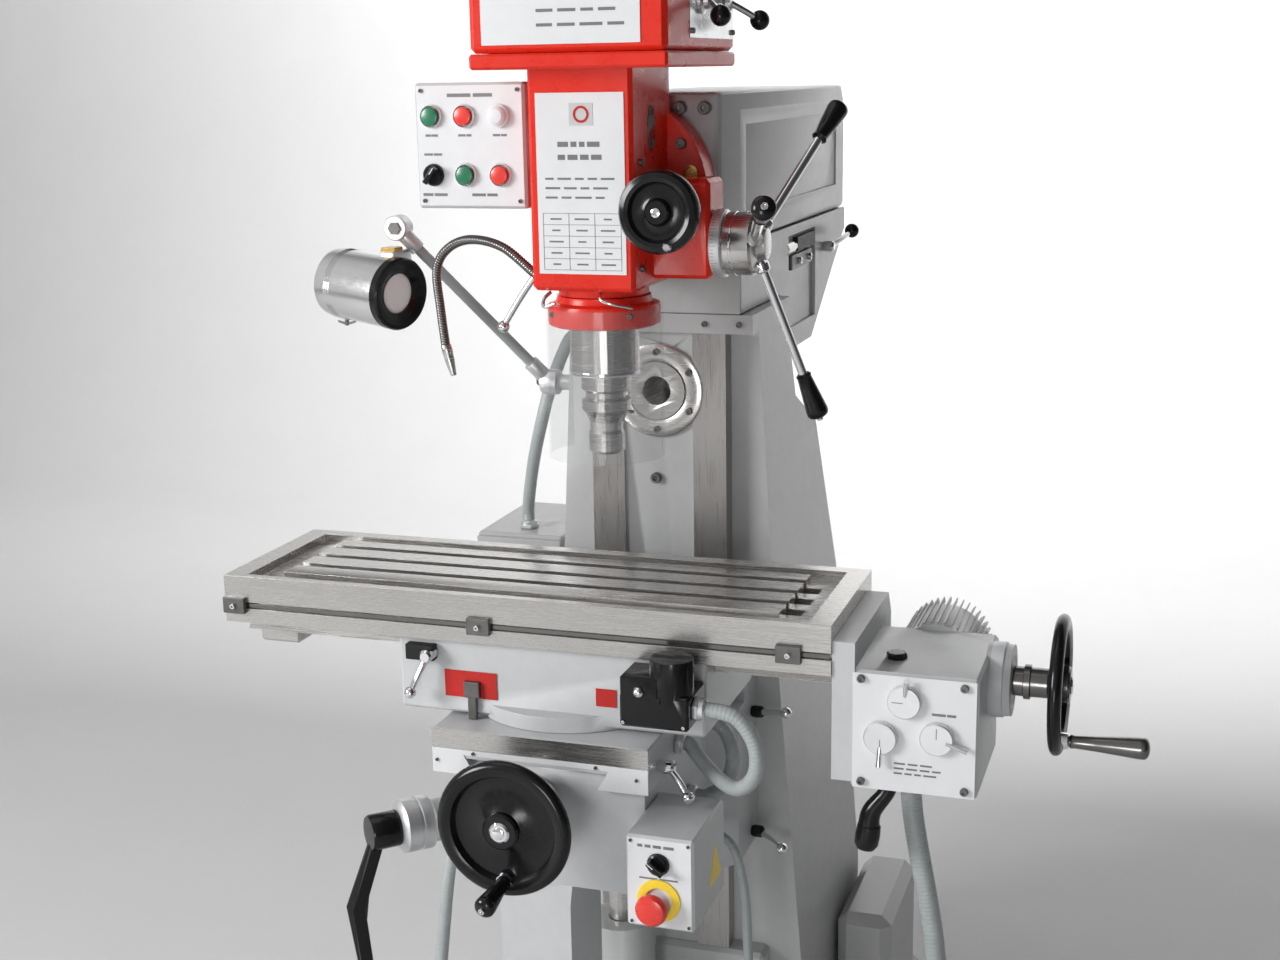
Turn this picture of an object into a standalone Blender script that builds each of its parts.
"""A vertical and horizontal knee milling machine with a swivelling table, a sliding ram and a tilting head.

Frame: metres, +X right, +Y back, +Z up. The origin is the point of the floor under the vertical spindle.
"""

import math

import bmesh
import bpy
from mathutils import Matrix, Vector

# ---- driving dimensions ----
GAP = 0.0003                      # clearance left between neighbouring pieces

TABLE_LENGTH = 0.800
TABLE_WIDTH = 0.240
TABLE_TOP = 0.950
TABLE_X = -0.080                  # middle of the table along its feed
TABLE_Y = -0.023
TABLE_PLATE = 0.062               # plate depth, top to underside
RIM = 0.012
SLOT_PITCH = 0.046
SLOT_WIDTH = 0.014
SLOT_NECK = 0.011
TEE_WIDTH = 0.024
TEE_DEPTH = 0.010

WAY_FRONT = 0.207                 # front face of the column's dovetail ways
WAY_HALF = 0.0967
STRIP_HALF = 0.0495
COLUMN_FRONT = 0.236
COLUMN_TOP = 1.257
CAP_FRONT = 0.200
NOSE_Z = 1.150                    # height of the horizontal spindle

BASE_HEIGHT = 0.100
BASE_HALF = 0.300
BASE_FRONT = -0.380
BASE_BACK = 0.700

KNEE_X = -0.040                   # middle plane of the knee's cross slide
KNEE_HALF = 0.137
KNEE_FRONT = -0.165
KNEE_TOP = 0.727
KNEE_BOTTOM = 0.500
KNEE_GUIDE_TOP = 0.860            # top of the guide that grips the column
CROSS_DOVETAIL_TOP = 0.748
SCREW_Y = 0.130
CROSS_SCREW_Z = 0.712
SADDLE_FRONT = -0.175
SADDLE_TOP = 0.785
SWIVEL_FRONT = -0.131
SWIVEL_TOP = TABLE_TOP - TABLE_PLATE - GAP

HEAD_Z = 1.430                    # axis about which the head tilts
HEAD_HALF = 0.0655
HEAD_FRONT = -0.074
HEAD_BACK = 0.075
HEAD_BOTTOM = 1.319
HEAD_TOP = 1.579
BAND_TOP = 1.597
HOUSING_HALF = 0.1205
HOUSING_FRONT = -0.111
HOUSING_BACK = 0.173
HOUSING_TOP = 1.765
RAM_HALF = 0.120
RAM_FRONT = 0.100
RAM_BACK = 0.854
RAM_TOP = 1.548
SLIDE_TOP = 1.350                 # top of the ram's slideway
MOTOR_Y = 0.096
MOTOR_TOP = 2.030
QUILL_RADIUS = 0.043
QUILL_BOTTOM = 1.208
SPINDLE_RADIUS = 0.020
GEAR_MODULE = 0.003
SPINDLE_TEETH = 44
MOTOR_TEETH = 20

FEED_Y, FEED_Z = 0.020, 1.370     # axis of the quill feed levers
LEVER_LEAN = 0.300                # how far the three levers lean outwards, in radians
LEVER_START = 0.774
LEVER_LENGTH = 0.2388

SCREW_Z = 0.861                   # height of the table's feed screw
GEARBOX = ((0.343, -0.140, 0.752), (0.490, 0.035, 0.898))
CRANK_Z = 0.660
CRANK_AXIS = Vector((-0.698, -0.716, 0.0)).normalized()
CRANK_ROOT = Vector((-0.1385, -0.1275, CRANK_Z))

PAINT_GREY = ((0.62, 0.63, 0.63), 0.42, 0.0)
PAINT_RED = ((0.78, 0.045, 0.02), 0.28, 0.0)
STEEL = ((0.62, 0.60, 0.58), 0.32, 0.9)
CHROME = ((0.85, 0.85, 0.86), 0.1, 1.0)
BLACK = ((0.015, 0.015, 0.016), 0.3, 0.0)
WHITE = ((0.85, 0.86, 0.87), 0.4, 0.0)
GREEN = ((0.02, 0.25, 0.1), 0.35, 0.0)
BUTTON_RED = ((0.8, 0.05, 0.03), 0.35, 0.0)
ALUMINIUM = ((0.75, 0.76, 0.78), 0.3, 1.0)
HOSE_GREY = ((0.42, 0.44, 0.44), 0.5, 0.0)
CLEAR = ((0.9, 0.92, 0.93), 0.05, 0.0)
IRON = ((0.2, 0.2, 0.2), 0.5, 0.6)


# ---- the scene's collections ----
def clear_scene():
    for old in list(bpy.data.objects):
        bpy.data.objects.remove(old)


def new_collection(name, hidden=False):
    collection = bpy.data.collections.new(name)
    bpy.context.scene.collection.children.link(collection)
    collection.hide_render = hidden
    return collection


clear_scene()
MACHINE = new_collection("milling_machine")
CUTTERS = new_collection("cutters", hidden=True)


def finish_of(obj, look):
    colour, roughness, metallic = look
    material = bpy.data.materials.new(obj.name + "_finish")
    material.use_nodes = True
    shader = material.node_tree.nodes["Principled BSDF"]
    shader.inputs["Base Color"].default_value = (*colour, 1.0)
    shader.inputs["Roughness"].default_value = roughness
    shader.inputs["Metallic"].default_value = metallic
    obj.data.materials.clear()
    obj.data.materials.append(material)


# ---- shapes, all made in the machine's own frame ----
def mesh_object(name, bm):
    mesh = bpy.data.meshes.new(name)
    bm.to_mesh(mesh)
    bm.free()
    obj = bpy.data.objects.new(name, mesh)
    MACHINE.objects.link(obj)
    return obj


def box(name, low, high, bevel=0.0):
    """A block between two corners, with rounded edges."""
    low, high = Vector(low), Vector(high)
    bm = bmesh.new()
    bmesh.ops.create_cube(bm, size=1.0)
    bmesh.ops.scale(bm, vec=high - low, verts=bm.verts)
    bmesh.ops.translate(bm, vec=(low + high) / 2, verts=bm.verts)
    obj = mesh_object(name, bm)
    if bevel:
        add_bevel(obj, bevel)
    return obj


def add_bevel(obj, width, segments=1):
    bevel = obj.modifiers.new("Rounded edges", "BEVEL")
    bevel.width = width
    bevel.segments = segments
    bevel.limit_method = "ANGLE"
    bevel.angle_limit = math.radians(40)


def along(start, end):
    """The matrix that carries +Z at the origin to the line from start towards end."""
    direction = Vector(end) - Vector(start)
    turn = Vector((0, 0, 1)).rotation_difference(direction).to_matrix().to_4x4()
    return Matrix.Translation(start) @ turn


def cylinder(name, start, end, radius, end_radius=None, sides=24):
    length = (Vector(end) - Vector(start)).length
    bm = bmesh.new()
    bmesh.ops.create_cone(
        bm,
        cap_ends=True,
        segments=sides,
        radius1=radius,
        radius2=radius if end_radius is None else end_radius,
        depth=length,
    )
    bmesh.ops.translate(bm, vec=(0, 0, length / 2), verts=bm.verts)
    bmesh.ops.transform(bm, matrix=along(start, end), verts=bm.verts)
    return mesh_object(name, bm)


def ball(name, centre, radius, rings=8, sides=12):
    bm = bmesh.new()
    bmesh.ops.create_uvsphere(bm, u_segments=sides, v_segments=rings, radius=radius)
    bmesh.ops.translate(bm, vec=centre, verts=bm.verts)
    return mesh_object(name, bm)


def turned(name, profile, start, end, steps=32):
    """A turned piece: (radius, height) pairs, listed down the outside from its far end, spun about the line.

    A profile that ends where it starts is a closed loop, for a piece with a hole through it.
    """
    bm = bmesh.new()
    closed = profile[0] == profile[-1]
    points = [bm.verts.new((radius, 0, height)) for radius, height in (profile[:-1] if closed else profile)]
    for first, second in zip(points, points[1:] + points[:1] if closed else points[1:]):
        bm.edges.new((first, second))
    obj = mesh_object(name, bm)
    obj.matrix_world = along(start, end)
    screw = obj.modifiers.new("Turned", "SCREW")
    screw.steps = steps
    screw.render_steps = steps
    screw.use_merge_vertices = True
    screw.merge_threshold = 0.0001
    return obj


def turned_ring(name, profile, start, end, steps=32):
    """A turned piece with a hole through it: the profile is a closed loop."""
    return turned(name, [*profile, profile[0]], start, end, steps)


def baked(obj):
    """The object with its modifiers applied and its mesh in the machine's frame."""
    bpy.context.view_layer.update()
    mesh = bpy.data.meshes.new_from_object(obj.evaluated_get(bpy.context.evaluated_depsgraph_get()))
    mesh.transform(obj.matrix_world)
    bm = bmesh.new()
    bm.from_mesh(mesh)
    bmesh.ops.remove_doubles(bm, verts=bm.verts, dist=0.00001)
    name = obj.name
    bpy.data.objects.remove(obj)
    return mesh_object(name, bm)


PLANES = {
    "XY": Matrix(((1, 0, 0), (0, 1, 0), (0, 0, 1))),
    "YZ": Matrix(((0, 0, 1), (1, 0, 0), (0, 1, 0))),
    "XZ": Matrix(((1, 0, 0), (0, 0, -1), (0, 1, 0))),
}


def prism(name, outline, plane, low, high):
    """A flat outline drawn in one plane and carried from low to high along that plane's normal axis."""
    curve = bpy.data.curves.new(name, "CURVE")
    curve.dimensions = "2D"
    curve.fill_mode = "BOTH"
    curve.extrude = (high - low) / 2
    spline = curve.splines.new("POLY")
    spline.points.add(len(outline) - 1)
    for point, (a, b) in zip(spline.points, outline):
        point.co = (a, b, 0, 1)
    spline.use_cyclic_u = True
    obj = bpy.data.objects.new(name, curve)
    MACHINE.objects.link(obj)
    turn = PLANES[plane].to_4x4()
    normal = turn.to_3x3() @ Vector((0, 0, 1))
    middle = (low + high) / 2 * (1 if plane != "XZ" else -1)
    obj.matrix_world = Matrix.Translation(normal * middle) @ turn
    return baked(obj)


def tube(name, points, radius, resolution=2):
    """A round bar or hose along a smooth curve through the points."""
    route = smooth_route([Vector(p) for p in points], 2.6 * radius)
    curve = bpy.data.curves.new(name, "CURVE")
    curve.dimensions = "3D"
    curve.bevel_depth = radius
    curve.bevel_resolution = resolution
    curve.use_fill_caps = True
    spline = curve.splines.new("POLY")
    spline.points.add(len(route) - 1)
    for point, place in zip(spline.points, route):
        point.co = (*place, 1)
    obj = bpy.data.objects.new(name, curve)
    MACHINE.objects.link(obj)
    return obj


def bar(name, points, radius, resolution=2):
    """A tube as a mesh, ready for Booleans, through straight runs between its points."""
    curve = bpy.data.curves.new(name, "CURVE")
    curve.dimensions = "3D"
    curve.bevel_depth = radius
    curve.bevel_resolution = resolution
    curve.use_fill_caps = True
    spline = curve.splines.new("POLY")
    spline.points.add(len(points) - 1)
    for point, place in zip(spline.points, points):
        point.co = (*place, 1)
    obj = bpy.data.objects.new(name, curve)
    MACHINE.objects.link(obj)
    return baked(obj)


def smooth_route(points, step):
    """Evenly spaced points on a Catmull-Rom curve through the given ones, square to it at both ends."""
    ends = [points[0] * 2 - points[1], *points, points[-1] * 2 - points[-2]]
    fine = []
    for i in range(len(points) - 1):
        a, b, c, d = ends[i:i + 4]
        for k in range(24):
            t = k / 24
            fine.append(
                0.5 * (2 * b + (c - a) * t + (2 * a - 5 * b + 4 * c - d) * t ** 2 + (3 * b - 3 * c + d - a) * t ** 3)
            )
    fine.append(points[-1])
    lengths = [0.0]
    for first, second in zip(fine, fine[1:]):
        lengths.append(lengths[-1] + (second - first).length)
    count = max(2, round(lengths[-1] / step))
    route = []
    at = 0
    for k in range(count + 1):
        wanted = lengths[-1] * k / count
        while at < len(fine) - 2 and lengths[at + 1] < wanted:
            at += 1
        share = (wanted - lengths[at]) / (lengths[at + 1] - lengths[at])
        route.append(fine[at].lerp(fine[at + 1], min(1.0, share)))
    straight = 0.3 * step
    route.insert(1, points[0] + (points[1] - points[0]).normalized() * straight)
    route.insert(-1, points[-1] + (points[-2] - points[-1]).normalized() * straight)
    return route


def boolean(target, tool, operation):
    for collection in tool.users_collection:
        collection.objects.unlink(tool)
    CUTTERS.objects.link(tool)
    tool.hide_render = True
    tool.display_type = "WIRE"
    modifier = target.modifiers.new(operation.title(), "BOOLEAN")
    modifier.operation = operation
    modifier.object = tool


def join(target, *tools):
    for tool in tools:
        boolean(target, tool, "UNION")
    return target


def cut(target, *tools):
    for tool in tools:
        boolean(target, tool, "DIFFERENCE")
    return target


def done(obj, look, origin=None):
    """Finishes a sub-part: its finish, its shading and, for a moving piece, its origin on its joint's axis."""
    if obj.type == "MESH":
        place = None if origin is None else Vector(origin)
        if place is not None and (obj.matrix_world.translation - place).length > 0.000001:
            if "Turned" in obj.modifiers:
                obj = baked(obj)
            obj.data.transform(Matrix.Translation(-place) @ obj.matrix_world)
            obj.matrix_world = Matrix.Translation(place)
        obj.data.shade_smooth()
        obj.data.set_sharp_from_angle(angle=math.radians(35))
    finish_of(obj, look)
    return obj


# ---- the standing frame ----
def base_casting():
    low_front = (-BASE_HALF, BASE_FRONT, 0)
    base = box("base_casting", low_front, (BASE_HALF, BASE_BACK, BASE_HEIGHT), 0.012)
    sump = box("sump", (0.205, 0.44, 0.05), (0.290, 0.68, 0.285), 0.016)
    bore = cylinder("screw_pit", (KNEE_X, SCREW_Y, -0.01), (KNEE_X, SCREW_Y, 0.2), 0.022)
    for x in (-0.255, 0.255):
        for y in (BASE_FRONT + 0.045, BASE_BACK - 0.045):
            cut(base, cylinder("bolt_hole", (x, y, -0.01), (x, y, 0.2), 0.009, sides=12))
    join(base, sump)
    front_core = box("front_core", (-0.220, BASE_FRONT + 0.05, -0.01), (0.220, -0.060, 0.075))
    rear_core = box("rear_core", (-0.220, 0.220, -0.01), (0.195, BASE_BACK - 0.08, 0.075))
    cut(base, bore, front_core, rear_core)
    done(base, PAINT_GREY)


def column_casting():
    side = [
        (0.236, BASE_HEIGHT + GAP), (0.236, 1.231), (CAP_FRONT, 1.231), (CAP_FRONT, COLUMN_TOP), (0.410, COLUMN_TOP),
        (0.403, 1.196), (0.422, 1.111), (0.541, 1.050), (0.632, 0.798), (0.645, 0.600), (0.645, BASE_HEIGHT + GAP),
    ]
    column = prism("column_casting", side, "YZ", -0.25, 0.25)
    front = [
        (-0.200, 0.0), (0.200, 0.0), (0.198, 0.30), (0.160, 0.79), (0.136, 1.22), (0.136, 1.30),
        (-0.136, 1.30), (-0.136, 1.22), (-0.160, 0.79), (-0.198, 0.30),
    ]
    boolean(column, prism("taper", front, "XZ", 0.1, 0.8), "INTERSECT")
    root = WAY_HALF - 0.018
    ways = [
        (-WAY_HALF, WAY_FRONT), (WAY_HALF, WAY_FRONT), (root, 0.233), (root, 0.25), (-root, 0.25), (-root, 0.233),
    ]
    foot = box("foot", (-0.150, 0.200, BASE_HEIGHT + 0.002), (0.150, 0.26, 0.330), 0.006)
    strip = box("strip", (-STRIP_HALF, 0.18, 0.331), (STRIP_HALF, WAY_FRONT + 0.004, 1.2305))
    spindle_bore = cylinder("bore", (0, 0.15, NOSE_Z), (0, 0.372, NOSE_Z), 0.0405)
    lamp_stub = cylinder("lamp_stub", (-0.12, 0.25, 1.148), (-0.160, 0.25, 1.148), 0.011, sides=16)
    motor_pad = box("motor_pad", (-0.085, 0.60, 0.615), (0.085, 0.650, 0.785), 0.004)
    flange = cylinder("spindle_flange", (0, 0.22, NOSE_Z), (0, WAY_FRONT - 0.001, NOSE_Z), 0.065, sides=36)
    join(column, prism("ways", ways, "XY", 0.320, 1.2312), foot, lamp_stub, motor_pad)
    hollow = [(0.285, 0.05), (0.600, 0.05), (0.595, 0.76), (0.520, 0.98), (0.400, 1.02), (0.285, 1.02)]
    cut(column, strip, prism("core", hollow, "YZ", -0.118, 0.118))
    join(column, flange)
    cut(column, spindle_bore)
    done(column, PAINT_GREY)


def ram_slideway():
    side = [
        (CAP_FRONT, COLUMN_TOP + GAP), (0.413, COLUMN_TOP + GAP), (0.413, 1.167), (0.620, 1.167),
        (0.860, 1.316), (0.860, SLIDE_TOP), (CAP_FRONT, SLIDE_TOP),
    ]
    slideway = prism("ram_slideway", side, "YZ", -RAM_HALF, RAM_HALF)
    groove = [(-0.0603, 1.36), (0.0603, 1.36), (0.0603, 1.35), (0.0753, 1.3197), (-0.0753, 1.3197), (-0.0603, 1.35)]
    recess = box("cover_recess", (RAM_HALF - 0.006, 0.470, 1.200), (0.2, 0.640, 1.335))
    cut(slideway, prism("groove", groove, "XZ", 0.1, 0.95), recess)
    done(slideway, PAINT_GREY)


def horizontal_motor():
    profile = [(0, 0.215), (0.052, 0.215), (0.070, 0.190), (0.075, 0.020), (0.070, 0), (0, 0)]
    start = (0, 0.650 + GAP, 0.700)
    motor = turned("horizontal_motor", profile, start, (0, 1, 0.700))
    done(motor, PAINT_GREY)


def horizontal_spindle():
    """The nose with its taper socket, and the shaft behind it."""
    profile = [
        (0.020, 0.166), (0.040, 0.166), (0.040, 0.010), (0.030, 0.006), (0.030, 0), (0, 0), (0, 0.060), (0.012, 0.060),
    ]
    spindle = turned("horizontal_spindle", [*profile, profile[0]], (0, 0.369, NOSE_Z), (0, 0, NOSE_Z), steps=28)
    done(spindle, STEEL, (0, 0.369, NOSE_Z))


def electrical_cabinet():
    cabinet = box("electrical_cabinet", (-0.345, 0.360, 0.300), (-0.205, 0.560, 0.889), 0.004)
    inside = box("inside", (-0.335, 0.30, 0.320), (-0.215, 0.545, 0.865))
    mounts = [box("bracket", (-0.21, 0.44, z), (-0.2015, 0.50, z + 0.05)) for z in (0.35, 0.45)]
    cut(cabinet, inside)
    join(cabinet, *mounts)
    done(cabinet, PAINT_GREY)


def cabinet_door():
    door = box("cabinet_door", (-0.344, 0.354, 0.306), (-0.206, 0.360 - GAP, 0.883), 0.0015)
    done(door, WHITE, (-0.344, 0.357, 0.60))


def screw_pedestal():
    start = (KNEE_X, SCREW_Y, BASE_HEIGHT + GAP)
    top = 0.400 - start[2]
    profile = [(0.047, top), (0.047, 0.012), (0.060, 0.012), (0.060, 0), (0.0185, 0), (0.0185, top)]
    pedestal = turned_ring("screw_pedestal", profile, start, (KNEE_X, SCREW_Y, 1), steps=28)
    done(pedestal, PAINT_GREY)


def lamp_arm():
    pivot = Vector((-0.160 - GAP, 0.25, 1.148))
    clevis = Vector((-0.340, 0.125, 1.374))
    hub = cylinder("lamp_arm", pivot, pivot - Vector((0.028, 0, 0)), 0.018, sides=16)
    rod = bar("rod", [pivot - Vector((0.016, 0, 0)), clevis], 0.0075)
    join(hub, rod, cylinder("eye", clevis - Vector((0, 0.010, 0)), clevis + Vector((0, 0.010, 0)), 0.016, sides=16))
    done(hub, PAINT_GREY, pivot)


def lamp_shade():
    """A spun cup, open to the right, hung from its clevis by a strap."""
    back, front = Vector((-0.442, 0.128, 1.300)), Vector((-0.318, 0.085, 1.289))
    length = (front - back).length
    profile = [
        (0.046, length), (0.049, length), (0.049, 0.050), (0.046, 0.012), (0.036, 0), (0, 0), (0, 0.030),
        (0.030, 0.030), (0.043, 0.070),
    ]
    shade = turned("lamp_shade", [*profile, profile[0]], back, front, steps=28)
    ear_low, ear_high = Vector((-0.346, 0.1455, 1.322)), Vector((-0.334, 0.1405, 1.388))
    ear = box("ear", ear_low, ear_high)
    strap = box("strap", (-0.352, 0.092, 1.322), (-0.330, 0.146, 1.345))
    join(shade, strap, ear)
    done(shade, ALUMINIUM, (-0.340, 0.143, 1.374))


def column_conduit():
    route = [
        (-0.275, 0.400, 0.8894), (-0.275, 0.400, 0.925), (-0.245, 0.350, 1.000), (-0.208, 0.295, 1.075),
        (-0.190, 0.300, 1.140), (-0.172, 0.322, 1.195), (-0.158, 0.325, 1.204), (-0.1381, 0.325, 1.204),
    ]
    done(tube("column_conduit", route, 0.0095), HOSE_GREY)


# ---- the ram ----
def ram_casting():
    side = [
        (RAM_FRONT + 0.004, SLIDE_TOP + GAP), (RAM_BACK, SLIDE_TOP + GAP), (RAM_BACK, RAM_TOP - 0.026),
        (RAM_BACK - 0.020, RAM_TOP), (RAM_FRONT + 0.004, RAM_TOP),
    ]
    ram = prism("ram_casting", side, "YZ", -RAM_HALF, RAM_HALF)
    add_bevel(ram, 0.010, 2)
    flange = cylinder("flange", (0, RAM_FRONT, HEAD_Z), (0, RAM_FRONT + 0.065, HEAD_Z), 0.1165, sides=40)
    tongue = [(-0.060, 1.36), (0.060, 1.36), (0.060, 1.35), (0.075, 1.320), (-0.075, 1.320), (-0.060, 1.35)]
    join(ram, flange, prism("tongue", tongue, "XZ", 0.15, 0.80))
    cut(ram, cylinder("core", (0, 0, 1.448), (0, 0.825, 1.448), 0.082, sides=28))
    done(ram, PAINT_GREY)


# ---- the head ----
def head_casting():
    body = box("head_casting", (-HEAD_HALF, HEAD_FRONT, HEAD_BOTTOM), (HEAD_HALF, HEAD_BACK, HEAD_TOP + 0.005), 0.005)
    band = box(
        "band",
        (-HOUSING_HALF - 0.001, HOUSING_FRONT - 0.001, HEAD_TOP),
        (HOUSING_HALF + 0.001, HOUSING_BACK + 0.001, BAND_TOP),
        0.003,
    )
    disc = cylinder("disc", (0, 0.06, HEAD_Z), (0, RAM_FRONT - GAP, HEAD_Z), 0.116, sides=40)
    feed_box = box("feed_box", (0.05, -0.002, 1.328), (0.137, 0.062, 1.448), 0.005)
    boss = cylinder("boss", (0.103, 0.01, 1.416), (0.103, -0.075, 1.416), 0.024, sides=20)
    collar_boss = cylinder("collar_boss", (0, 0, 1.3085), (0, 0, 1.33), 0.056, sides=28)
    join(body, band, disc, feed_box, boss, collar_boss)
    cut(body, cylinder("quill_bore", (0, 0, 1.2), (0, 0, 1.65), QUILL_RADIUS + GAP, sides=32))
    done(body, PAINT_RED, (0, RAM_FRONT, HEAD_Z))


def top_housing():
    housing = box(
        "top_housing",
        (-HOUSING_HALF, HOUSING_FRONT, BAND_TOP + GAP),
        (HOUSING_HALF, HOUSING_BACK, HOUSING_TOP),
        0.006,
    )
    wall = 0.006
    inside = box(
        "inside",
        (-HOUSING_HALF + wall, HOUSING_FRONT + wall, BAND_TOP - 0.02),
        (HOUSING_HALF - wall, HOUSING_BACK - wall, HOUSING_TOP - 0.008),
    )
    cut(housing, inside, cylinder("shaft_hole", (0, MOTOR_Y, 1.7), (0, MOTOR_Y, 1.8), 0.0108, sides=20))
    done(housing, PAINT_RED)


def head_motor():
    start = (0, MOTOR_Y, HOUSING_TOP + GAP)
    top = MOTOR_TOP - start[2]
    profile = [
        (0, top), (0.048, top), (0.064, top - 0.022), (0.068, top - 0.050), (0.068, 0.020), (0.074, 0.016),
        (0.074, 0), (0.013, 0), (0.013, 0.010), (0, 0.010),
    ]
    done(turned("head_motor", profile, start, (0, MOTOR_Y, 3)), PAINT_GREY)


def gear_outline(teeth, turn):
    """Straight-sided teeth, narrow enough to run with backlash."""
    pitch = teeth * GEAR_MODULE / 2
    step = 2 * math.pi / teeth
    outline = []
    for k in range(teeth):
        middle = turn + k * step
        for radius, share in ((pitch - 1.25 * GEAR_MODULE, -0.33), (pitch + 0.75 * GEAR_MODULE, -0.11),
                              (pitch + 0.75 * GEAR_MODULE, 0.11), (pitch - 1.25 * GEAR_MODULE, 0.33)):
            angle = middle + share * step
            outline.append((radius * math.cos(angle), radius * math.sin(angle)))
    return outline


def spindle_gear():
    outline = gear_outline(SPINDLE_TEETH, math.pi / 2)
    gear = prism("spindle_gear", outline, "XY", 1.606, 1.628)
    bore = cylinder("bore", (0, 0, 1.5), (0, 0, 1.8), SPINDLE_RADIUS + 0.0004, sides=24)
    cut(gear, bore)
    done(gear, IRON, (0, 0, 1.606))


def motor_gear():
    """The motor's pinion; a gap between its teeth faces the spindle gear."""
    half_step = math.pi / MOTOR_TEETH
    outline = [(x, y + MOTOR_Y) for x, y in gear_outline(MOTOR_TEETH, -math.pi / 2 + half_step)]
    pinion = prism("motor_gear", outline, "XY", 1.604, 1.630)
    join(pinion, cylinder("shaft", (0, MOTOR_Y, 1.62), (0, MOTOR_Y, 1.772), 0.010, sides=20))
    done(pinion, IRON, (0, MOTOR_Y, 1.606))


def quill():
    bottom = (0, 0, QUILL_BOTTOM)
    bore = SPINDLE_RADIUS + 0.0004
    profile = [
        (QUILL_RADIUS, 0.292), (QUILL_RADIUS, 0.004), (QUILL_RADIUS - 0.003, 0), (bore, 0), (bore, 0.292),
    ]
    done(turned_ring("quill", profile, bottom, (0, 0, 2), steps=32), STEEL, bottom)


def vertical_spindle():
    """The spindle and the collet chuck on its nose."""
    bottom = (0, 0, 1.108)
    shaft = SPINDLE_RADIUS
    profile = [
        (0, 0.647), (shaft, 0.647), (shaft, 0.0995), (0.031, 0.0985), (0.031, 0.082), (0.026, 0.078), (0.026, 0.072),
        (0.031, 0.068), (0.031, 0.056), (0.026, 0.050), (0.022, 0.040), (0.021, 0.030), (0.023, 0.026),
        (0.023, 0.004), (0.018, 0), (0, 0),
    ]
    done(turned("vertical_spindle", profile, bottom, (0, 0, 2), steps=24), STEEL, bottom)


def guard_collar():
    profile = [(0.0700, 0.038), (0.0700, 0.004), (0.066, 0), (0.0460, 0), (0.0460, 0.038)]
    collar = turned_ring("guard_collar", profile, (0, 0, 1.270), (0, 0, 2), steps=32)
    done(collar, PAINT_RED, (0, 0, 1.270))


def guard_shield():
    """A clear sleeve, open at the back."""
    profile = [(0.0733, 0.188), (0.0733, 0), (0.0706, 0), (0.0706, 0.188)]
    shield = turned_ring("guard_shield", profile, (0, 0, 1.106), (0, 0, 2), steps=40)
    cut(shield, box("open_back", (-0.06, 0.025, 1.0), (0.06, 0.09, 1.4)))
    done(shield, CLEAR, (0, 0, 1.106))


def lever_direction(number):
    """The direction of one of the three quill feed levers."""
    angle = LEVER_START - number * 2 * math.pi / 3
    flat = math.cos(LEVER_LEAN)
    return Vector((math.sin(LEVER_LEAN), flat * math.cos(angle), flat * math.sin(angle)))


def feed_levers():
    """The feed hub with its graduated dial, and three levers with their grips."""
    start = Vector((0.137 + GAP, FEED_Y, FEED_Z))
    profile = [
        (0, 0.067), (0.026, 0.067), (0.036, 0.060), (0.038, 0.052), (0.038, 0.019), (0.035, 0.017), (0.041, 0.016),
        (0.041, 0.003), (0.037, 0), (0, 0),
    ]
    hub = baked(turned("feed_levers", profile, start, start + Vector((1, 0, 0)), steps=28))
    root = Vector((0.185, FEED_Y, FEED_Z))
    for number in range(3):
        way = lever_direction(number)
        end = root + way * LEVER_LENGTH
        grip = root + way * (LEVER_LENGTH - 0.062)
        join(hub, cylinder("lever", root, end - way * 0.01, 0.0058, sides=10))
        join(hub, cylinder("grip", grip, end, 0.0095, 0.014, sides=14))
    done(hub, ALUMINIUM, start)


def fine_feed_wheel():
    face = -0.075 - GAP
    profile = [
        (0, 0.033), (0.008, 0.033), (0.010, 0.028), (0.022, 0.028), (0.026, 0.016), (0.036, 0.016), (0.039, 0.030),
        (0.045, 0.032), (0.049, 0.026), (0.049, 0.014), (0.045, 0.008), (0.018, 0.006), (0.016, 0), (0, 0),
    ]
    wheel = turned("fine_feed_wheel", profile, (0.103, face, 1.416), (0.103, -1, 1.416), steps=32)
    done(wheel, BLACK, (0.103, face, 1.416))


def quill_lock_lever():
    root = Vector((-HEAD_HALF - GAP, 0.0, 1.345))
    hub = cylinder("quill_lock_lever", root, root - Vector((0.020, 0, 0)), 0.010, sides=14)
    tip = Vector((-0.136, 0.0, 1.263))
    knee = root - Vector((0.014, 0, 0))
    join(hub, cylinder("arm", knee, tip, 0.0045, 0.0095, sides=12))
    done(hub, WHITE, root)


def coolant_pipe():
    route = [
        (-0.0660, -0.020, 1.331), (-0.080, -0.020, 1.331), (-0.125, -0.020, 1.365), (-0.168, -0.020, 1.374),
        (-0.200, -0.020, 1.362), (-0.216, -0.020, 1.335), (-0.213, -0.020, 1.285), (-0.208, -0.020, 1.238),
        (-0.198, -0.020, 1.198),
    ]
    done(tube("coolant_pipe", route, 0.0062), IRON)


def gear_lever(name, pivot, knob):
    """A speed-change lever on the side of the top housing."""
    pivot, knob = Vector(pivot), Vector(knob)
    hub = cylinder(name, pivot, pivot + Vector((0.016, 0, 0)), 0.013, sides=16)
    elbow = pivot + Vector((0.011, 0, 0))
    join(hub, cylinder("arm", elbow, knob, 0.0045, sides=8), ball("knob", knob, 0.0125))
    done(hub, BLACK, pivot)


PANEL_BUTTONS = {
    "start_button": (-0.209, 1.525),
    "stop_button": (-0.165, 1.525),
    "feed_start_button": (-0.165, 1.454),
    "feed_stop_button": (-0.119, 1.454),
}


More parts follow.
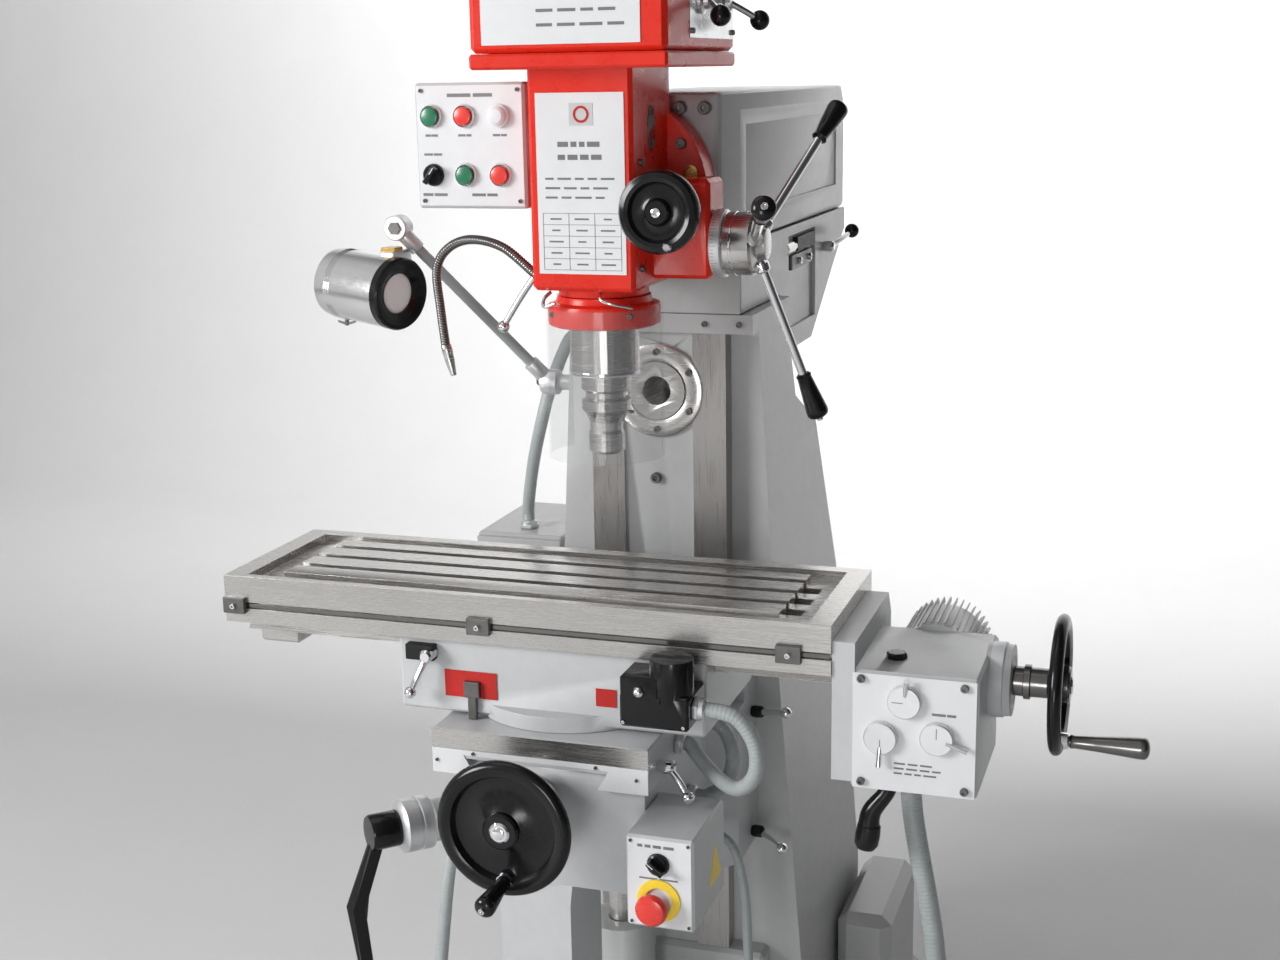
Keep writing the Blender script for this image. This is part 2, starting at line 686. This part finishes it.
def control_panel():
    panel = box("control_panel", (-0.232, -0.030, 1.413), (-0.086, 0.030, 1.565), 0.003)
    join(panel, box("bracket", (-0.09, -0.008, 1.460), (-HEAD_HALF - GAP, 0.010, 1.520)))
    for x, z in PANEL_BUTTONS.values():
        cut(panel, cylinder("button_well", (x, -0.05, z), (x, -0.023, z), 0.0130, sides=16))
    done(panel, PAINT_GREY)


def push_button(name, look):
    x, z = PANEL_BUTTONS[name]
    profile = [(0, 0.010), (0.0105, 0.010), (0.0125, 0.008), (0.0125, 0), (0, 0)]
    face = -0.030 - GAP
    done(turned(name, profile, (x, face, z), (x, -1, z), steps=16), look, (x, face, z))


def selector(name, x, face, z, radius):
    """A rotary switch: a round base with a raised finger bar."""
    base = cylinder(name, (x, face, z), (x, face - 0.006, z), radius, sides=16)
    half = radius * 0.32
    join(base, box("finger", (x - half, face - 0.018, z - radius), (x + half, face - 0.004, z + radius), 0.001))
    done(base, BLACK, (x, face, z))


# ---- the knee ----
def knee_casting():
    left, right = KNEE_X - KNEE_HALF, KNEE_X + KNEE_HALF
    rear = 0.2354
    plan = [(-0.100, KNEE_FRONT), (right, KNEE_FRONT), (right, 0.10), (0.132, 0.135), (0.132, rear),
            (-0.132, rear), (-0.132, 0.19), (left, 0.15), (left, -0.090)]
    knee = prism("knee_casting", plan, "XY", 0.40, KNEE_GUIDE_TOP)
    side = [(-0.30, 0.590), (KNEE_FRONT, 0.590), (0.060, KNEE_BOTTOM), (0.26, KNEE_BOTTOM), (0.26, 0.9),
            (0.168, 0.9), (0.168, KNEE_TOP), (-0.30, KNEE_TOP)]
    boolean(knee, prism("under_slope", side, "YZ", -0.3, 0.3), "INTERSECT")
    root = WAY_HALF - 0.018
    front = WAY_FRONT - GAP
    wide = WAY_HALF + 2 * GAP
    grip = [(-wide, front), (wide, front), (root + 0.0015, 0.234), (root + 0.0015, 0.27),
            (-root - 0.0015, 0.27), (-root - 0.0015, 0.234)]
    dovetail = [(-0.132, CROSS_DOVETAIL_TOP), (0.052, CROSS_DOVETAIL_TOP), (0.040, KNEE_TOP), (0.040, 0.70),
                (-0.120, 0.70), (-0.120, KNEE_TOP)]
    tank = [(-0.160, 0.420), (-0.050, 0.420), (-0.050, 0.600), (-0.145, 0.600), (-0.160, 0.560)]
    join(knee, prism("cross_dovetail", dovetail, "XZ", KNEE_FRONT, 0.200))
    join(knee, prism("oil_tank", tank, "YZ", -0.100, -0.005))
    cut(knee, prism("column_grip", grip, "XY", 0.3, 1.0))
    cut(knee, cylinder("screw_well", (KNEE_X, SCREW_Y, 0.3), (KNEE_X, SCREW_Y, 0.690), 0.052, sides=28))
    done(knee, PAINT_GREY)


def elevating_screw():
    start = (KNEE_X, SCREW_Y, 0.260)
    top = 0.690 - GAP - 0.260
    profile = [(0, top), (0.030, top), (0.030, top - 0.020), (0.0175, top - 0.022), (0.0175, 0.003), (0.0145, 0), (0, 0)]
    done(turned("elevating_screw", profile, start, (KNEE_X, SCREW_Y, 1), steps=20), STEEL, start)


def crank_place(out, across, up):
    """A point of the lifting crank: along its axis, across it and above it."""
    sideways = Vector((CRANK_AXIS.y, -CRANK_AXIS.x, 0))
    return CRANK_ROOT + CRANK_AXIS * out + sideways * across + Vector((0, 0, up))


def lifting_crank():
    """The graduated collar and hub of the knee's crank, its bent arm and its grip."""
    start = crank_place(GAP, 0, 0)
    profile = [(0, 0.148), (0.019, 0.148), (0.023, 0.144), (0.023, 0.112), (0.032, 0.110), (0.034, 0.106),
               (0.034, 0.070), (0.028, 0.068), (0.028, 0.022), (0.036, 0.020), (0.036, 0), (0, 0)]
    crank = baked(turned("lifting_crank", profile, start, start + CRANK_AXIS, steps=28))
    hub = crank_place(0.134, 0, 0)
    elbow = crank_place(0.170, 0, -0.095)
    tip = crank_place(0.160, 0, -0.185)
    join(crank, bar("arm", [hub, elbow, tip], 0.0085))
    join(crank, cylinder("grip", tip, tip + CRANK_AXIS * 0.09, 0.009, 0.0125, sides=14))
    done(crank, BLACK, start)


def cross_handwheel():
    """The dished handwheel of the cross slide, on its shaft."""
    start = Vector((KNEE_X, KNEE_FRONT - GAP, CROSS_SCREW_Z))
    profile = [
        (0, 0.124), (0.012, 0.124), (0.018, 0.116), (0.020, 0.100), (0.060, 0.090), (0.070, 0.104), (0.076, 0.120),
        (0.081, 0.122), (0.0845, 0.116), (0.082, 0.104), (0.070, 0.086), (0.024, 0.080), (0.024, 0.050),
        (0.032, 0.048), (0.032, 0.020), (0.020, 0.018), (0.020, 0), (0, 0),
    ]
    wheel = baked(turned("cross_handwheel", profile, start, start + Vector((0, -1, 0)), steps=36))
    pin = start + Vector((0, -0.100, -0.066))
    end = pin + Vector((-0.004, -0.075, -0.010))
    join(wheel, cylinder("grip", pin, end, 0.0085, 0.0125, sides=14))
    done(wheel, BLACK, start)


ESTOP_LOW = Vector((0.0975, -0.240, 0.590))
ESTOP_HIGH = Vector((0.181, -0.110, 0.706))


def estop_box():
    case = box("estop_box", ESTOP_LOW, ESTOP_HIGH, 0.003)
    face = ESTOP_LOW.y
    cut(case, cylinder("stem_well", (0.134, face - 0.01, 0.622), (0.134, face + 0.007, 0.622), 0.0105, sides=20))
    done(case, PAINT_GREY)


def estop_button():
    face = ESTOP_LOW.y - GAP
    profile = [(0, 0.026), (0.014, 0.025), (0.019, 0.021), (0.0195, 0.014), (0.010, 0.013), (0.010, 0), (0, 0)]
    done(turned("estop_button", profile, (0.134, face, 0.622), (0.134, -1, 0.622), steps=24), BUTTON_RED,
         (0.134, face, 0.622))


def clamp_lever(name, pivot, hub_end, tip, radius=0.005, knob=0.008, hub=0.009, look=CHROME):
    """A clamp handle: a short hub on its axis, and an arm that ends in a ball."""
    pivot, hub_end, tip = Vector(pivot), Vector(hub_end), Vector(tip)
    lever = cylinder(name, pivot, hub_end, hub, sides=14)
    elbow = pivot.lerp(hub_end, 0.6)
    join(lever, cylinder("arm", elbow, tip, radius, radius * 0.8, sides=8), ball("knob", tip, knob))
    done(lever, look, pivot)


# ---- the saddle, the swivel and the table ----
def cross_saddle():
    left, right = -0.178, 0.106
    saddle = box("cross_saddle", (left, SADDLE_FRONT, KNEE_TOP + GAP), (right, 0.105, SADDLE_TOP), 0.002)
    top, low = CROSS_DOVETAIL_TOP + GAP, KNEE_TOP
    groove = [(-0.1325, top), (0.0525, top), (0.0405, low), (0.0405, 0.70), (-0.1205, 0.70), (-0.1205, low)]
    cut(saddle, prism("groove", groove, "XZ", -0.3, 0.3))
    done(saddle, STEEL)


def swivel_saddle():
    disc = cylinder(
        "swivel_saddle", (KNEE_X, TABLE_Y, SADDLE_TOP + GAP), (KNEE_X, TABLE_Y, 0.805), 0.132, sides=40
    )
    block = box("block", (-0.240, SWIVEL_FRONT, 0.790), (0.165, 0.085, SWIVEL_TOP), 0.004)
    groove = [(-0.0805, 0.895), (0.0345, 0.895), (0.0345, 0.888), (0.0466, 0.8617), (-0.0926, 0.8617), (-0.0805, 0.888)]
    screw_way = box("screw_way", (-0.3, TABLE_Y - 0.018, 0.842), (0.3, TABLE_Y + 0.018, 0.87))
    join(disc, block)
    cut(disc, prism("groove", groove, "YZ", -0.4, 0.4), screw_way)
    done(disc, PAINT_GREY, (KNEE_X, TABLE_Y, SADDLE_TOP))


def limit_switch_box():
    case = box("limit_switch_box", (0.079, -0.200, 0.823), (0.164, SWIVEL_FRONT - GAP, 0.864), 0.003)
    upper = box("upper", (0.080, -0.200, 0.850), (0.127, -0.1475, 0.886), 0.002)
    cap = cylinder("cap", (0.137, -0.176, 0.855), (0.137, -0.176, 0.905), 0.026, sides=20)
    join(case, upper, cap)
    done(case, BLACK)


def tee_slot(y):
    """The cutter of one T-slot, seen along the table."""
    neck, tee = SLOT_WIDTH / 2, TEE_WIDTH / 2
    step, floor = TABLE_TOP - SLOT_NECK, TABLE_TOP - SLOT_NECK - TEE_DEPTH
    return [(y - neck, TABLE_TOP + 0.01), (y - neck, step), (y - tee, step), (y - tee, floor),
            (y + tee, floor), (y + tee, step), (y + neck, step), (y + neck, TABLE_TOP + 0.01)]


def table():
    left, right = TABLE_X - TABLE_LENGTH / 2, TABLE_X + TABLE_LENGTH / 2
    front, back = TABLE_Y - TABLE_WIDTH / 2, TABLE_Y + TABLE_WIDTH / 2
    under = TABLE_TOP - TABLE_PLATE
    section = [
        (front, under), (front, 0.907), (front + 0.009, 0.907), (front + 0.009, 0.9155), (front, 0.9155),
        (front, TABLE_TOP), (back, TABLE_TOP), (back, under),
    ]
    plate = prism("table", section, "YZ", left, right)
    dovetail = [(-0.080, 0.895), (0.034, 0.895), (0.034, under), (0.046, 0.862), (-0.092, 0.862), (-0.080, under)]
    join(plate, prism("dovetail", dovetail, "YZ", left + 0.001, right - 0.001))
    land_left, land_right = left + 0.070, right - 0.070
    floor = TABLE_TOP - 0.012
    cut(plate, box("pan", (left + 0.029, front + RIM, floor), (right - 0.028, back - 0.020, TABLE_TOP + 0.01)))
    join(plate, box("land", (land_left, front + 0.034, floor - 0.003), (land_right, back - 0.042, TABLE_TOP)))
    for k in (-1, 0, 1):
        cut(plate, prism("tee_slot", tee_slot(TABLE_Y + k * SLOT_PITCH), "YZ", land_left - 0.02, land_right + 0.02))
    bracket = box("end_bracket", (left + 0.004, TABLE_Y - 0.045, 0.838), (left + 0.062, TABLE_Y + 0.045, 0.875), 0.003)
    screw = cylinder("feed_screw", (left + 0.01, TABLE_Y, SCREW_Z), (right - 0.001, TABLE_Y, SCREW_Z), 0.012, sides=16)
    join(plate, bracket, screw)
    done(plate, STEEL)


def feed_gearbox():
    """The power feed at the table's right end: end plate, gear case, motor and the wheel's bearing flange."""
    low, high = GEARBOX
    case = box("feed_gearbox", low, high, 0.004)
    end = TABLE_X + TABLE_LENGTH / 2 + GAP
    plate = prism(
        "end_plate",
        [(-0.140, 0.760), (0.060, 0.760), (0.090, 0.800), (0.090, 0.900), (0.070, 0.930), (-0.140, 0.930)],
        "YZ", end, low[0] + 0.004,
    )
    motor = baked(turned(
        "motor", [(0, 0.120), (0.036, 0.118), (0.048, 0.104), (0.053, 0.090), (0.053, 0), (0, 0)],
        (0.414, 0.030, 0.852), (0.414, 1, 0.852), steps=24,
    ))
    flange = cylinder("flange", (0.485, TABLE_Y, SCREW_Z), (0.515, TABLE_Y, SCREW_Z), 0.045, 0.043, sides=28)
    join(case, plate, motor, flange)
    done(case, PAINT_GREY)


def table_handwheel():
    start = Vector((0.515 + GAP, TABLE_Y, SCREW_Z))
    profile = [
        (0, 0.094), (0.011, 0.094), (0.013, 0.086), (0.019, 0.084), (0.030, 0.062), (0.062, 0.056), (0.068, 0.074),
        (0.076, 0.084), (0.082, 0.083), (0.084, 0.076), (0.080, 0.066), (0.066, 0.050), (0.024, 0.056),
        (0.024, 0.040), (0.0165, 0.038), (0.0165, 0.018), (0.025, 0.016), (0.025, 0), (0, 0),
    ]
    wheel = baked(turned("table_handwheel", profile, start, start + Vector((1, 0, 0)), steps=36))
    pin = start + Vector((0.062, -0.010, -0.066))
    end = pin + Vector((0.098, 0, 0))
    join(wheel, cylinder("grip", pin, end, 0.0075, 0.0125, sides=14))
    done(wheel, BLACK, start)


def feed_dial(number, x, z, tip_x, tip_z):
    """A rate-change knob with its radial lever."""
    face = GEARBOX[0][1] - GAP
    name = f"feed_dial_{number}"
    dial = cylinder(name, (x, face, z), (x, face - 0.016, z), 0.0195, 0.018, sides=20)
    join(dial, cylinder("lever", (x, face - 0.010, z), (tip_x, face - 0.010, tip_z), 0.0032, 0.0045, sides=8))
    done(dial, ALUMINIUM, (x, face, z))


def feed_engage_handle():
    pivot = Vector((0.386, -0.095, GEARBOX[0][2] - GAP))
    stem = cylinder("feed_engage_handle", pivot, pivot - Vector((0, 0, 0.012)), 0.012, sides=16)
    bend = pivot - Vector((0, 0, 0.008))
    wrist = Vector((0.361, -0.098, 0.706))
    tip = Vector((0.355, -0.100, 0.662))
    join(stem, cylinder("neck", bend, wrist, 0.009, 0.0125, sides=12))
    join(stem, ball("joint", wrist, 0.0135), cylinder("bulb", wrist, tip, 0.0125, 0.0150, sides=14))
    join(stem, ball("end", tip, 0.0152))
    done(stem, BLACK, pivot)


# ---- hoses ----
HOSES = {
    "knee_conduit": (0.0085, [
        (-0.1775, -0.050, 0.605), (-0.190, -0.050, 0.605), (-0.207, -0.055, 0.583), (-0.216, -0.064, 0.530),
        (-0.222, -0.076, 0.450), (-0.228, -0.088, 0.360), (-0.234, -0.098, 0.270), (-0.238, -0.104, 0.190),
        (-0.239, -0.106, 0.140), (-0.239, -0.106, 0.1006),
    ]),
    "drain_hose": (0.0130, [
        (0.398, -0.045, 0.7514), (0.398, -0.045, 0.735), (0.402, -0.047, 0.690), (0.411, -0.050, 0.640),
        (0.423, -0.053, 0.580), (0.433, -0.055, 0.520), (0.439, -0.056, 0.450), (0.442, -0.056, 0.370),
    ]),
    "switch_hose": (0.0095, [
        (0.1644, -0.176, 0.845), (0.178, -0.176, 0.845), (0.214, -0.174, 0.838), (0.236, -0.172, 0.806),
        (0.236, -0.170, 0.768), (0.212, -0.155, 0.741), (0.176, -0.115, 0.733), (0.142, -0.080, 0.742),
        (0.122, -0.062, 0.752), (0.1065, -0.062, 0.752),
    ]),
    "saddle_hose": (0.0095, [
        (0.1065, 0.020, 0.756), (0.120, 0.020, 0.756), (0.145, 0.019, 0.742), (0.157, 0.017, 0.708),
        (0.148, 0.015, 0.672), (0.124, 0.014, 0.652), (0.110, 0.014, 0.650), (0.0975, 0.014, 0.650),
    ]),
    "base_hose": (0.0065, [
        (0.0975, 0.060, 0.580), (0.112, 0.060, 0.580), (0.145, 0.055, 0.565), (0.164, 0.044, 0.510),
        (0.172, 0.032, 0.430), (0.180, 0.016, 0.340), (0.187, 0.002, 0.240), (0.190, -0.005, 0.160),
        (0.190, -0.006, 0.1006),
    ]),
}


def hoses():
    for name, (radius, route) in HOSES.items():
        done(tube(name, route, radius), HOSE_GREY)


def standing_frame():
    base_casting()
    column_casting()
    ram_slideway()
    horizontal_motor()
    horizontal_spindle()
    electrical_cabinet()
    cabinet_door()
    screw_pedestal()
    lamp_arm()
    lamp_shade()
    column_conduit()
    clamp_lever("ram_lock_lever", (RAM_HALF + GAP, 0.70, 1.300), (0.138, 0.70, 1.300), (0.150, 0.775, 1.318), look=BLACK)


def ram_and_head():
    ram_casting()
    head_casting()
    top_housing()
    head_motor()
    spindle_gear()
    motor_gear()
    quill()
    vertical_spindle()
    guard_collar()
    guard_shield()
    feed_levers()
    fine_feed_wheel()
    quill_lock_lever()
    coolant_pipe()
    side = HOUSING_HALF + GAP
    gear_lever("speed_lever_front", (side, 0.020, 1.655), (0.156, -0.014, 1.636))
    gear_lever("speed_lever_rear", (side, 0.115, 1.655), (0.160, 0.150, 1.634))
    control_panel()
    push_button("start_button", GREEN)
    push_button("stop_button", BUTTON_RED)
    selector("mode_selector", -0.209, -0.030 - GAP, 1.454, 0.0115)
    push_button("feed_start_button", GREEN)
    push_button("feed_stop_button", BUTTON_RED)


def knee_and_table():
    knee_casting()
    elevating_screw()
    lifting_crank()
    cross_handwheel()
    estop_box()
    estop_button()
    selector("power_selector", 0.138, ESTOP_LOW.y - GAP, 0.673, 0.0125)
    side = 0.132 + GAP
    clamp_lever("knee_clamp_upper", (side, 0.205, 0.700), (0.152, 0.205, 0.700), (0.188, 0.180, 0.712))
    clamp_lever("knee_clamp_lower", (side, 0.205, 0.520), (0.152, 0.205, 0.520), (0.182, 0.180, 0.510))
    cross_saddle()
    clamp_lever("saddle_clamp_lever", (0.106 + GAP, -0.140, 0.752), (0.128, -0.140, 0.752), (0.150, -0.158, 0.7235))
    swivel_saddle()
    limit_switch_box()
    clamp_lever("table_clamp_lever", (-0.193, SWIVEL_FRONT - GAP, 0.868), (-0.193, -0.155, 0.868), (-0.212, -0.160, 0.822))
    table()
    feed_gearbox()
    table_handwheel()
    feed_dial(1, 0.406, 0.866, 0.409, 0.893)
    feed_dial(2, 0.379, 0.820, 0.378, 0.786)
    feed_dial(3, 0.444, 0.825, 0.480, 0.815)
    feed_engage_handle()
    hoses()


standing_frame()
ram_and_head()
knee_and_table()
